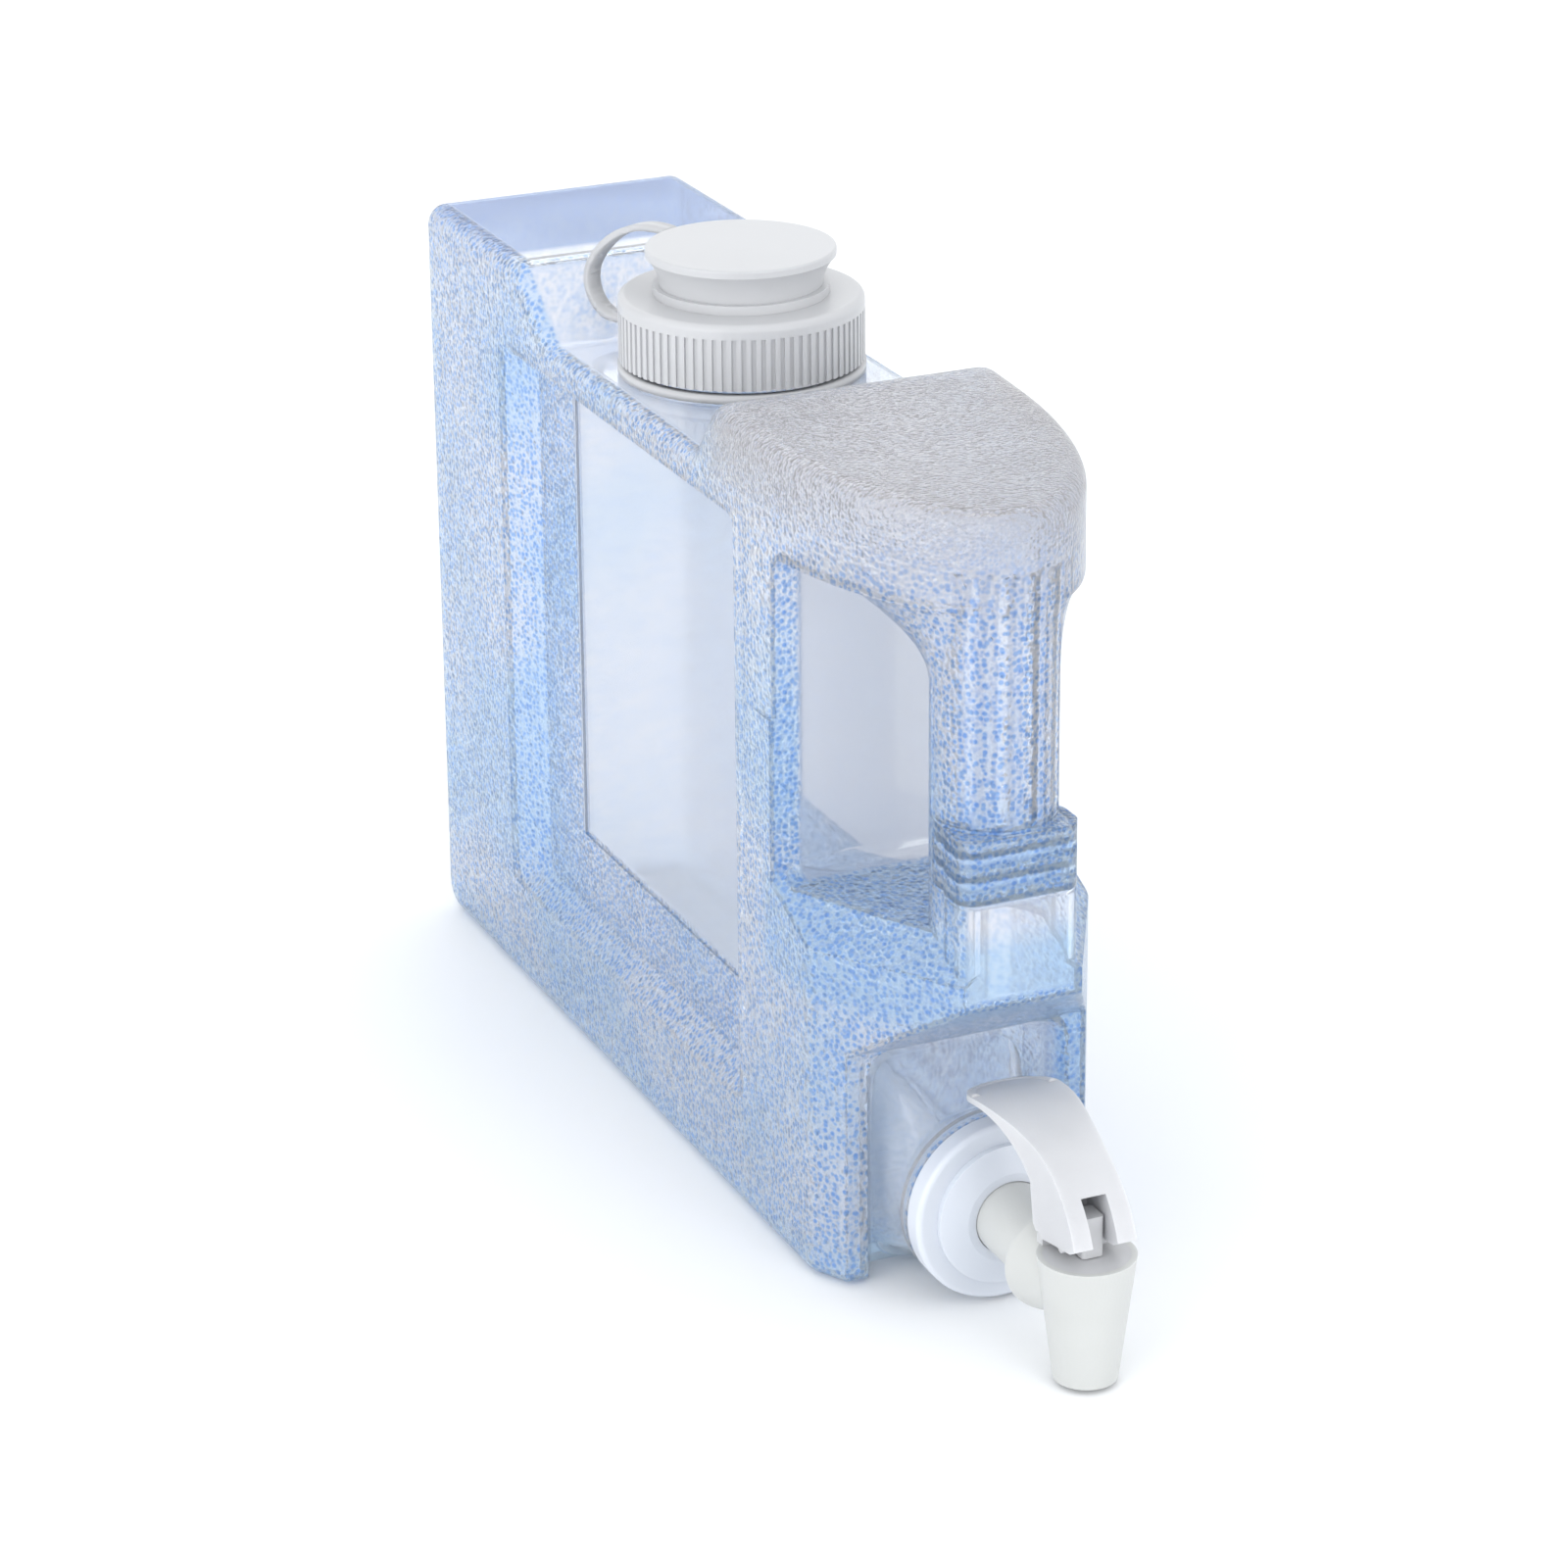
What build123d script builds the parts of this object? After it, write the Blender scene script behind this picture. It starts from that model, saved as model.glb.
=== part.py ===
from build123d import *
import math
import os

# Slim water container for a refrigerator shelf, with a carrying grip, a screw collar and a lever tap.
# Millimetres, +Z up. The tap points towards -Y and the grip hole runs along X.
# Depths are measured from the container's back face towards the tap.

# Overall form of the container
body_width = 82.0
bottle_length = 285.0
body_height = 226.0
saddle_height = 208.0
nose_reach = 32.0
nose_drop = 5.0
wall = 1.8
edge_round = 5.5
back_top_round = 7.0
back_foot_round = 10.0
hair = 0.01

# Top profile, depths from the back face
hump_length = 74.0
hump_slope_length = 24.0
shoulder_depth = 216.0
shoulder_slope_length = 15.0
profile_round = 9.0
nose_taper_length = 82.0

# Grip hole and grip column
grip_back_depth = 252.0
grip_floor = 105.0
grip_ceiling = 195.0
grip_corner_round = 5.0
column_width = 33.0
column_depth = 33.0
flare_height = 23.0
flare_steps = 6
column_foot_height = 31.0
column_foot_width = 34.0
column_foot_round = 5.0
column_foot_length = 15.0
column_foot_depth = 15.0
column_setback = 0.6

# Slopes that fall from the grip column to the sides
side_fall = 0.79
front_fall = 0.42
ridge_height = 122.9
cut_headroom = 20.0
cut_overrun = 10.0

# Foot, chin and tap recess
chin_rise = 22.0
foot_height = 67.0
foot_corner_round = 9.5
chin_round = 3.0
nose_taper_depth = 274.0
tap_recess_width = 57.4
tap_recess_depth = 12.0
tap_recess_draft = 29.0
tap_recess_round = 7.0

# Side recesses with their smooth panels
recess_depth = 6.0
recess_back_depth = 60.0
recess_front_depth = 230.0
recess_bottom = 31.6
recess_top = 199.0
recess_back_slope = 17.0
recess_front_slope = 4.0
recess_bottom_slope = 8.0
recess_top_slope = 3.0
recess_round = 4.0
panel_depth = 0.8
panel_back_margin = 28.0
panel_bottom_margin = 22.0
panel_edge_margin = 2.0

# Filler neck and the pieces that close it
neck_radius = 29.6
neck_height = 19.0
neck_ledge_radius = 32.5
neck_ledge_height = 0.8
neck_thread_height = 1.2
neck_thread_clearance = 0.4
liner_thickness = 1.5
liner_clearance = 0.2
collar_radius = 34.0
collar_gap = 4.5
collar_plate = 2.5
collar_round = 2.0
collar_rib_count = 80
collar_rib_depth = 0.6
collar_rib_gap = 1.3
filler_radius = 20.0
stopper_clearance = 0.3
stopper_radius = 26.3
stopper_foot_radius = 24.4
stopper_foot_height = 2.6
stopper_waist = 22.6
stopper_height = 13.0
stopper_rim = 2.2
stopper_dish = 1.2
stopper_bow = 0.9
stopper_edge_round = 0.7
stopper_plug_length = 8.5
stopper_wall = 1.5
tether_width = 5.0
tether_thickness = 1.8
tether_angle = 113.0
tether_bulge = 56.5
tether_bulge_height = 229.0
tether_turn_in = 9.0
tether_turn_up = 4.0
tether_start_rise = 0.1
tether_root = 1.0
tether_ring_height = 2.2
tether_ring_width = 3.2
tether_clearance = 0.3

# Tap neck on the container and the nut that clamps the tap
tap_height = 26.3
tap_neck_radius = 22.5
tap_neck_end = 17.8
tap_bead_radius = 24.9
tap_bead_start = 11.8
tap_bead_length = 4.0
boss_reach = 5.0
gasket_thickness = 1.2
flange_thickness = 2.0
nut_radius = 25.0
nut_start = 16.6
nut_rim_length = 6.2
nut_thread_clearance = 1.1
nut_step_radius = 19.5
nut_step_length = 1.8
nut_cone_length = 2.2
nut_round = 1.5
nut_clearance = 0.2

# Tap barrel, spout and valve
barrel_radius = 10.0
barrel_bore = 5.0
bulge_start = 51.0
bulge_radius = 14.0
bulge_edge = 1.0
bulge_length = 14.0
spout_reach = 69.0
spout_top_radius = 12.8
spout_bottom_radius = 8.4
spout_top = 36.0
spout_bottom = 1.6
spout_wall = 1.6
seat_height = 13.0
seat_radius = 5.5
seat_thickness = 2.0
cup_flange_thickness = 2.0
cup_wall = 1.2
cup_plug_radius = 7.4
cup_plug_height = 3.5
cup_clearance = 0.3
stem_radius = 2.6
stem_clearance = 0.3
stem_root = 1.5
stem_head_width = 6.0
stem_head_length = 7.0
stem_head_height = 11.0
stem_head_round = 1.0
gland_thickness = 2.6
cross_bar_radius = 1.8
cross_bar_length = 15.0
cross_bar_rise = 3.5

# Lever
pivot_reach = 59.5
pivot_rise = 1.8
fulcrum_radius = 1.5
fulcrum_length = 17.0
fulcrum_clearance = 0.15
lever_rear = 16.0
lever_rear_height = 60.5
lever_rear_round = 12.5
lever_crown_reach = 50.0
lever_crown_height = 63.6
lever_knee_reach = 69.0
lever_knee_height = 55.7
lever_tip_reach = 79.0
lever_tip_height = 42.4
lever_tip_back = 2.5
lever_tip_drop = 1.5
lever_thickness = 2.6
lever_waist = 17.6
lever_waist_reach = 61.0
lever_tip_width = 17.4
lever_slot = 7.0
lever_slot_gap = 1.0
lever_heel_reach = 57.0
lever_heel_rise = 2.9
lever_heel_lean = 1.5
lever_web_drop = 1.0
lever_crown_back = 4.0
lever_crown_drop = 1.2
lever_bar_clearance = 0.3
lever_bar_play = 1.0

# Derived places
tap_front = bottle_length + spout_reach + spout_top_radius
back_y = tap_front / 2
neck_depth = bottle_length / 2
nose_depth = bottle_length + nose_reach
half_width = body_width / 2
collar_bottom = saddle_height + collar_gap
neck_top = saddle_height + neck_height
collar_top = neck_top + liner_thickness + collar_plate
collar_bore = neck_radius + neck_thread_height + neck_thread_clearance
pivot_height = spout_top + pivot_rise
cross_bar_height = spout_top + cross_bar_rise


def y_at(depth):
    """Place along Y of a depth measured from the back face."""
    return back_y - depth


def ahead(reach):
    """Place along Y of a distance ahead of the container's front face."""
    return back_y - bottle_length - reach


neck_y = y_at(neck_depth)
spout_y = ahead(spout_reach)
tap_face = Plane(origin=(0, y_at(bottle_length), 0), x_dir=(1, 0, 0), z_dir=(0, -1, 0))
filler_section = Plane(origin=(0, neck_y, 0), x_dir=(1, 0, 0), z_dir=(0, -1, 0))
spout_section = Plane(origin=(0, spout_y, 0), x_dir=(1, 0, 0), z_dir=(0, -1, 0))
tap_section = Plane(origin=(0, y_at(bottle_length), tap_height), x_dir=(0, -1, 0), z_dir=(-1, 0, 0))
side_view = Plane(origin=(body_width, y_at(0), 0), x_dir=(0, -1, 0), z_dir=(-1, 0, 0))
reach_view = Plane(origin=(lever_rear_round, y_at(bottle_length), 0), x_dir=(0, -1, 0), z_dir=(-1, 0, 0))


# Container
def side_outline(inset):
    """Outline seen from the side, depth across and height up, pulled in by the inset."""
    slope_end = hump_length + hump_slope_length
    rounds = {
        (hump_length, body_height): profile_round,
        (slope_end, saddle_height): profile_round,
        (shoulder_depth - shoulder_slope_length, saddle_height): profile_round,
        (shoulder_depth, body_height): profile_round,
        (nose_depth, foot_height + chin_rise): chin_round,
        (0, 0): back_foot_round,
        (0, body_height): back_top_round,
    }
    corners = [
        (0, 0),
        (0, body_height),
        (hump_length, body_height),
        (slope_end, saddle_height),
        (shoulder_depth - shoulder_slope_length, saddle_height),
        (shoulder_depth, body_height),
        (nose_depth, body_height - nose_drop),
        (nose_depth, foot_height + chin_rise),
        (bottle_length, foot_height),
        (bottle_length, 0),
    ]
    with BuildSketch(side_view) as outline:
        with BuildLine():
            Polyline(*corners, close=True)
        make_face()
        for corner, radius in rounds.items():
            nearest = outline.vertices().sort_by_distance(corner)[0]
            fillet(nearest, radius)
        if inset > 0:
            offset(amount=-inset, kind=Kind.INTERSECTION)
    return outline.sketch


def upper_plan(inset, level):
    """Plan of the shoulder, whose nose is half an ellipse."""
    side = half_width - inset
    back = y_at(inset)
    taper_start = y_at(nose_depth - nose_taper_length)
    with BuildSketch(Plane.XY.offset(level)) as plan:
        with BuildLine():
            Line((side, taper_start), (side, back))
            Line((side, back), (-side, back))
            Line((-side, back), (-side, taper_start))
            EllipticalCenterArc(
                (0, taper_start), side, nose_taper_length - inset, start_angle=180, arc_size=180
            )
        make_face()
    return plan.sketch


def lower_plan(inset, level):
    """Plan of the lower part, whose nose is cut off by a narrow flat front."""
    side = half_width - inset
    nose_half = column_foot_width / 2 - inset
    with BuildSketch(Plane.XY.offset(level)) as plan:
        with BuildLine():
            Polyline(
                (side, y_at(inset)),
                (-side, y_at(inset)),
                (-side, y_at(nose_taper_depth)),
                (-nose_half, y_at(nose_depth - inset)),
                (nose_half, y_at(nose_depth - inset)),
                (side, y_at(nose_taper_depth)),
                close=True,
            )
        make_face()
        fillet(plan.vertices().group_by(Axis.Y)[1], foot_corner_round - inset)
    return plan.sketch


def flare_angle(step):
    """Angle along the quarter circle that the column's flare follows."""
    return math.radians(90 * step / flare_steps)


def grip_column(inset):
    """Round grip column with a flared head."""
    base = grip_floor - column_foot_depth
    flare_start = grip_ceiling - flare_height + inset
    with BuildPart() as column:
        with BuildSketch(Plane.XY.offset(base)):
            with Locations((0, y_at(nose_depth - column_setback - column_depth / 2))):
                Ellipse(column_width / 2 - inset, column_depth / 2 - inset)
        extrude(amount=flare_start - base)
        for step in range(flare_steps + 1):
            share = 1 - math.cos(flare_angle(step))
            level = flare_start + flare_height * math.sin(flare_angle(step))
            front = nose_depth - inset - (1 - share) * column_setback
            across = column_width / 2 + share * (half_width - column_width / 2) - inset
            along = column_depth / 2 + share * (nose_taper_length - column_depth / 2) - inset
            with BuildSketch(Plane.XY.offset(level)):
                with Locations((0, y_at(front - along))):
                    Ellipse(across, along)
        loft()
    return column.part


def column_foot(inset):
    """Squarer block that stands in front of the column's foot."""
    base = grip_floor - column_foot_depth
    with BuildPart() as foot:
        with BuildSketch(Plane.XY.offset(base)):
            with Locations((0, y_at(nose_depth - column_foot_length / 2))):
                RectangleRounded(
                    column_foot_width - 2 * inset,
                    column_foot_length - 2 * inset,
                    column_foot_round - inset,
                )
        extrude(amount=column_foot_height + column_foot_depth - inset)
    return foot.part


def grip_opening(inset):
    """Space cleared in front of the grip hole's back wall, before the column is added."""
    front = nose_depth + cut_overrun
    with BuildPart() as opening:
        with BuildSketch(side_view) as section:
            with BuildLine():
                Polyline(
                    (grip_back_depth - inset, grip_floor - inset),
                    (grip_back_depth - inset, grip_ceiling + inset),
                    (front, grip_ceiling + inset),
                    (front, grip_floor - inset),
                    close=True,
                )
            make_face()
            fillet(section.vertices().group_by(Axis.X)[0], grip_corner_round + inset)
        extrude(amount=2 * body_width)
    return opening.part


def grip_slopes(inset):
    """Tool that cuts the slopes from the column's foot down to the sides."""
    start = grip_back_depth - inset
    steepness = math.sqrt(1 + side_fall**2 + front_fall**2)
    crest = ridge_height + front_fall * (bottle_length - start) - inset * steepness
    reach = nose_depth - start + cut_overrun
    across = body_width
    roof = crest + cut_headroom
    with BuildPart() as slopes:
        with BuildSketch(Plane(origin=(0, y_at(start), 0), x_dir=(1, 0, 0), z_dir=(0, -1, 0))):
            with BuildLine():
                Polyline(
                    (0, crest),
                    (across, crest - side_fall * across),
                    (across, roof),
                    (-across, roof),
                    (-across, crest - side_fall * across),
                    close=True,
                )
            make_face()
        fall = math.hypot(1, front_fall)
        extrude(amount=reach * fall, dir=(0, -1, -front_fall))
    return slopes.part


def grip_cut(inset):
    """Everything that the grip takes out of the container's form."""
    with BuildPart() as cut:
        add(grip_opening(inset))
        add(grip_slopes(inset))
        add(grip_column(inset), mode=Mode.SUBTRACT)
        add(column_foot(inset), mode=Mode.SUBTRACT)
    return cut.part


def side_recess(inset):
    """Recess tools for both sides: a shallow tray with sloped walls."""
    length = recess_front_depth - recess_back_depth
    height = recess_top - recess_bottom
    floor_length = length - recess_back_slope - recess_front_slope
    floor_height = height - recess_bottom_slope - recess_top_slope
    middle_y = y_at(recess_back_depth + length / 2)
    middle_z = recess_bottom + height / 2
    floor_y = y_at(recess_back_depth + recess_back_slope + floor_length / 2)
    floor_z = recess_bottom + recess_bottom_slope + floor_height / 2
    with BuildPart() as tray:
        with BuildSketch(Plane(origin=(half_width, middle_y, middle_z), x_dir=(0, 1, 0), z_dir=(1, 0, 0))):
            RectangleRounded(length + 2 * inset, height + 2 * inset, recess_round + inset)
        floor_x = half_width - recess_depth - inset
        with BuildSketch(Plane(origin=(floor_x, floor_y, floor_z), x_dir=(0, 1, 0), z_dir=(1, 0, 0))):
            RectangleRounded(floor_length + 2 * inset, floor_height + 2 * inset, recess_round + inset)
        loft(ruled=True)
        panel_length = floor_length - panel_back_margin - panel_edge_margin
        panel_height = floor_height - panel_bottom_margin - panel_edge_margin
        panel_y = floor_y - (panel_back_margin - panel_edge_margin) / 2
        panel_z = floor_z + (panel_bottom_margin - panel_edge_margin) / 2
        with BuildSketch(Plane(origin=(floor_x, panel_y, panel_z), x_dir=(0, 1, 0), z_dir=(1, 0, 0))):
            Rectangle(panel_length + 2 * inset, panel_height + 2 * inset)
        extrude(amount=-panel_depth)
        mirror(about=Plane.YZ)
    return tray.part


def tap_recess(inset):
    """Drafted recess between the two front feet."""
    front = y_at(bottle_length - inset)
    height = foot_height + inset + cut_headroom
    with BuildPart() as recess:
        middle = height / 2 - cut_headroom
        plane = Plane(origin=(0, front, middle), x_dir=(1, 0, 0), z_dir=(0, 1, 0))
        with BuildSketch(plane):
            RectangleRounded(tap_recess_width + 2 * inset, height, tap_recess_round + inset)
        extrude(amount=tap_recess_depth, taper=tap_recess_draft)
        with BuildSketch(plane):
            RectangleRounded(tap_recess_width + 2 * inset, height, tap_recess_round + inset)
        extrude(amount=-inset - wall)
    return recess.part


def necks(inset):
    """Filler neck on the saddle, and the boss with the tap neck in the tap recess."""
    face_depth = bottle_length - tap_recess_depth
    shrink = tap_recess_depth * math.tan(math.radians(tap_recess_draft))
    face_width = tap_recess_width - 2 * shrink
    face_height = foot_height - shrink
    with BuildPart() as neck:
        with BuildSketch(Plane.XY.offset(saddle_height - 2 * wall - inset)):
            with Locations((0, neck_y)):
                Circle(neck_radius - inset)
        extrude(amount=neck_height + 2 * wall + 2 * inset)
        boss_plane = Plane(origin=(0, y_at(face_depth - inset - wall), 0), x_dir=(1, 0, 0), z_dir=(0, -1, 0))
        with BuildSketch(boss_plane):
            with Locations((0, face_height / 2)):
                RectangleRounded(face_width - 2 * inset, face_height - 2 * inset, tap_recess_round - inset)
        with BuildSketch(tap_face.offset(boss_reach)):
            with Locations((0, tap_height)):
                Circle(tap_neck_radius - inset)
        loft()
        with BuildSketch(tap_face.offset(boss_reach)):
            with Locations((0, tap_height)):
                Circle(tap_neck_radius - inset)
        extrude(amount=tap_neck_end - boss_reach + inset)
    return neck.part


def rim_edges(edges, inset):
    """Edges round both sides, round the top of the nose and along the feet."""
    side = half_width - inset
    middle = (grip_floor + grip_ceiling) / 2

    def on_rim(edge):
        size = edge.bounding_box().size
        centre = edge.center()
        on_side = size.X < hair and abs(abs(centre.X) - side) < hair
        upright_front = size.Y < hair and centre.Y < y_at(hump_length)
        on_nose = centre.Z > grip_ceiling and centre.Y < y_at(shoulder_depth) and size.Y > edge_round
        on_feet = abs(centre.Z - inset) < hair
        at_split = abs(centre.Z - middle) < hair
        return (on_feet or on_nose or (on_side and not upright_front)) and not at_split

    return edges.filter_by(on_rim)


def container_form(inset):
    """Whole form of the container, pulled in by the inset."""
    split = (grip_floor + grip_ceiling) / 2
    with BuildPart() as form:
        add(lower_plan(inset, inset))
        extrude(amount=split - inset)
        add(upper_plan(inset, split))
        extrude(amount=body_height - split)
        add(side_outline(inset))
        extrude(amount=2 * body_width, dir=(-1, 0, 0), mode=Mode.INTERSECT)
        fillet(rim_edges(form.edges(), inset), edge_round - inset)
    return form.part


def container_solid(inset):
    """Container with its grip, recesses and necks, pulled in by the inset."""
    with BuildPart() as solid:
        add(container_form(inset))
        add(grip_cut(inset), mode=Mode.SUBTRACT)
        add(side_recess(inset), mode=Mode.SUBTRACT)
        add(tap_recess(inset), mode=Mode.SUBTRACT)
        add(necks(inset))
    return solid.part


with BuildPart() as bottle:
    add(container_solid(0))
    with BuildSketch(Plane.XY.offset(saddle_height)):
        with Locations((0, neck_y)):
            Circle(neck_ledge_radius)
    extrude(amount=neck_ledge_height)
    with BuildSketch(tap_face.offset(tap_bead_start)):
        with Locations((0, tap_height)):
            Circle(tap_bead_radius)
    extrude(amount=tap_bead_length)
    add(container_solid(wall), mode=Mode.SUBTRACT)


# Screw collar and its liner
with BuildPart() as screw_collar:
    with BuildSketch(filler_section) as collar_section:
        with BuildLine():
            Polyline(
                (collar_bore, collar_bottom),
                (collar_radius, collar_bottom),
                (collar_radius, collar_top),
                (filler_radius, collar_top),
                (filler_radius, collar_top - collar_plate),
                (collar_bore, collar_top - collar_plate),
                close=True,
            )
        make_face()
        fillet(collar_section.vertices().sort_by_distance((collar_radius, collar_top))[0], collar_round)
    revolve(axis=Axis((0, neck_y, 0), (0, 0, 1)))
    groove_height = collar_top - collar_bottom - 2 * collar_round
    with BuildSketch(Plane.XY.offset(collar_bottom)):
        with Locations((0, neck_y)):
            with PolarLocations(collar_radius, collar_rib_count):
                Rectangle(2 * collar_rib_depth, collar_rib_gap)
    extrude(amount=groove_height, mode=Mode.SUBTRACT)

with BuildPart() as collar_liner:
    with BuildSketch(Plane.XY.offset(neck_top)):
        with Locations((0, neck_y)):
            Circle(collar_bore - liner_clearance)
            Circle(filler_radius + liner_clearance, mode=Mode.SUBTRACT)
    extrude(amount=liner_thickness)


# Stopper
with BuildPart() as stopper:
    plug_radius = filler_radius - stopper_clearance
    stopper_top = collar_top + stopper_height
    with BuildSketch(filler_section):
        with BuildLine():
            Polyline(
                (0, collar_top),
                (plug_radius - stopper_wall, collar_top),
                (plug_radius - stopper_wall, collar_top - stopper_plug_length),
                (plug_radius, collar_top - stopper_plug_length),
                (plug_radius, collar_top),
                (stopper_foot_radius, collar_top),
                (stopper_foot_radius, collar_top + stopper_foot_height),
                (stopper_waist, collar_top + stopper_foot_height),
            )
            ThreePointArc(
                (stopper_waist, collar_top + stopper_foot_height),
                (stopper_waist + stopper_bow, (collar_top + stopper_top) / 2),
                (stopper_radius, stopper_top - stopper_rim),
            )
            Polyline(
                (stopper_radius, stopper_top - stopper_rim),
                (stopper_radius, stopper_top),
                (stopper_radius - stopper_rim, stopper_top),
                (0, stopper_top - stopper_dish),
                (0, collar_top),
            )
        make_face()
    revolve(axis=Axis((0, neck_y, 0), (0, 0, 1)))
    fillet(stopper.edges().filter_by(GeomType.CIRCLE).group_by(Axis.Z)[-1], stopper_edge_round)


# Tether: a strap from the stopper's rim down to a loose ring round the neck
tether_ring_bottom = saddle_height + neck_ledge_height + tether_clearance
tether_ring_inner = neck_radius + neck_thread_height + tether_clearance
tether_ring_outer = tether_ring_inner + tether_ring_width
tether_start = stopper_radius + tether_clearance
tether_plane = Plane(
    origin=(0, neck_y, 0),
    x_dir=(math.cos(math.radians(tether_angle)), math.sin(math.radians(tether_angle)), 0),
    z_dir=(math.sin(math.radians(tether_angle)), -math.cos(math.radians(tether_angle)), 0),
)
with BuildPart() as tether:
    with BuildSketch(Plane.XY.offset(tether_ring_bottom)):
        with Locations((0, neck_y)):
            Circle(tether_ring_outer)
            Circle(tether_ring_inner, mode=Mode.SUBTRACT)
    extrude(amount=tether_ring_height)
    with BuildSketch(tether_plane):
        with BuildLine():
            level = collar_top + stopper_height - stopper_rim / 2
            foot = tether_ring_bottom + tether_thickness / 2
            start = (tether_start + tether_thickness / 2, level)
            bulge = (tether_bulge, tether_bulge_height)
            turn = (tether_bulge - tether_turn_in, foot + tether_turn_up)
            upper = TangentArc(start, bulge, tangent=(1, tether_start_rise))
            middle = TangentArc(bulge, turn, tangent=upper % 1)
            TangentArc(turn, (tether_ring_outer - tether_root, foot), tangent=middle % 1)
            offset(amount=tether_thickness / 2, kind=Kind.ARC)
        make_face()
    extrude(amount=tether_width / 2, both=True)


# Tap nut and gasket, both round the tap neck's axis
def tap_turned(*points):
    """Section turned round the tap's axis: points of reach ahead and radius."""
    with BuildPart() as turned:
        with BuildSketch(tap_section):
            with BuildLine():
                Polyline(*points, close=True)
            make_face()
        revolve(axis=Axis((0, 0, tap_height), (0, -1, 0)))
    return turned.part


gasket_end = tap_neck_end + gasket_thickness
flange_end = gasket_end + flange_thickness
nut_rim_end = nut_start + nut_rim_length
nut_step_end = nut_rim_end + nut_step_length
nut_end = nut_step_end + nut_cone_length
nut_inner = tap_neck_radius + nut_thread_clearance
nut_hole = barrel_radius + nut_clearance

with BuildPart() as tap_gasket:
    add(
        tap_turned(
            (tap_neck_end, barrel_bore),
            (tap_neck_end, tap_neck_radius),
            (gasket_end, tap_neck_radius),
            (gasket_end, barrel_bore),
        )
    )

with BuildPart() as coupling_nut:
    add(
        tap_turned(
            (nut_start, nut_inner),
            (nut_start, nut_radius),
            (nut_rim_end, nut_radius),
            (nut_rim_end, nut_step_radius),
            (nut_step_end, nut_step_radius),
            (nut_end, nut_hole + nut_cone_length),
            (nut_end, nut_hole),
            (flange_end + nut_clearance, nut_hole),
            (flange_end + nut_clearance, nut_inner),
        )
    )
    rims = coupling_nut.edges().filter_by(GeomType.CIRCLE)
    outer_rim = rims.filter_by(lambda edge: abs(edge.radius - nut_radius) < hair)
    fillet(outer_rim.sort_by(Axis.Y)[0], nut_round)


# Tap body: flange, barrel, round bulge and tapering spout in one moulding
def spout_radius(height):
    """Outer radius of the spout at a height."""
    share = (height - spout_bottom) / (spout_top - spout_bottom)
    return spout_bottom_radius + share * (spout_top_radius - spout_bottom_radius)


seat_top = seat_height + seat_thickness
gland_bottom = spout_top - gland_thickness
cup_seat = gland_bottom - cup_flange_thickness
gland_radius = spout_top_radius - spout_wall

with BuildPart() as tap_body:
    add(
        tap_turned(
            (gasket_end, 0),
            (gasket_end, tap_neck_radius),
            (flange_end, tap_neck_radius),
            (flange_end, barrel_radius),
            (bulge_start, barrel_radius),
            (bulge_start, bulge_radius),
            (bulge_start + bulge_edge, bulge_radius),
            (bulge_start + bulge_length, barrel_radius),
            (spout_reach, barrel_radius),
            (spout_reach, 0),
        )
    )
    with BuildSketch(spout_section):
        with BuildLine():
            Polyline(
                (0, spout_bottom),
                (spout_bottom_radius, spout_bottom),
                (spout_top_radius, spout_top),
                (0, spout_top),
                close=True,
            )
        make_face()
    revolve(axis=Axis((0, spout_y, 0), (0, 0, 1)))
    with BuildSketch(spout_section):
        with BuildLine():
            Polyline(
                (0, spout_bottom),
                (spout_bottom_radius - spout_wall, spout_bottom),
                (spout_radius(seat_height) - spout_wall, seat_height),
                (seat_radius, seat_height),
                (seat_radius, seat_top),
                (spout_radius(seat_top) - spout_wall, seat_top),
                (spout_radius(cup_seat) - 2 * spout_wall, cup_seat),
                (gland_radius, cup_seat),
                (gland_radius, spout_top),
                (0, spout_top),
                close=True,
            )
        make_face()
    revolve(axis=Axis((0, spout_y, 0), (0, 0, 1)), mode=Mode.SUBTRACT)
    with BuildSketch(tap_face.offset(gasket_end)):
        with Locations((0, tap_height)):
            Circle(barrel_bore)
    extrude(amount=spout_reach - gasket_end, mode=Mode.SUBTRACT)
    with BuildSketch(Plane.XY.offset(spout_top)):
        with Locations((0, spout_y)):
            Circle(spout_top_radius)
    extrude(amount=barrel_radius, mode=Mode.SUBTRACT)


# Valve parts inside the spout
with BuildPart() as seat_cup:
    with BuildSketch(spout_section):
        cup_inner = stem_radius + cup_clearance
        with BuildLine():
            Polyline(
                (0, seat_top),
                (cup_plug_radius, seat_top),
                (cup_plug_radius, seat_top + cup_plug_height),
                (cup_inner + cup_wall, seat_top + cup_plug_height + cup_wall),
                (cup_inner + cup_wall, cup_seat),
                (gland_radius - cup_clearance, cup_seat),
                (gland_radius - cup_clearance, gland_bottom),
                (cup_inner, gland_bottom),
                (cup_inner, seat_top + stem_root),
                (0, seat_top + stem_root),
                close=True,
            )
        make_face()
    revolve(axis=Axis((0, spout_y, 0), (0, 0, 1)))

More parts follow.
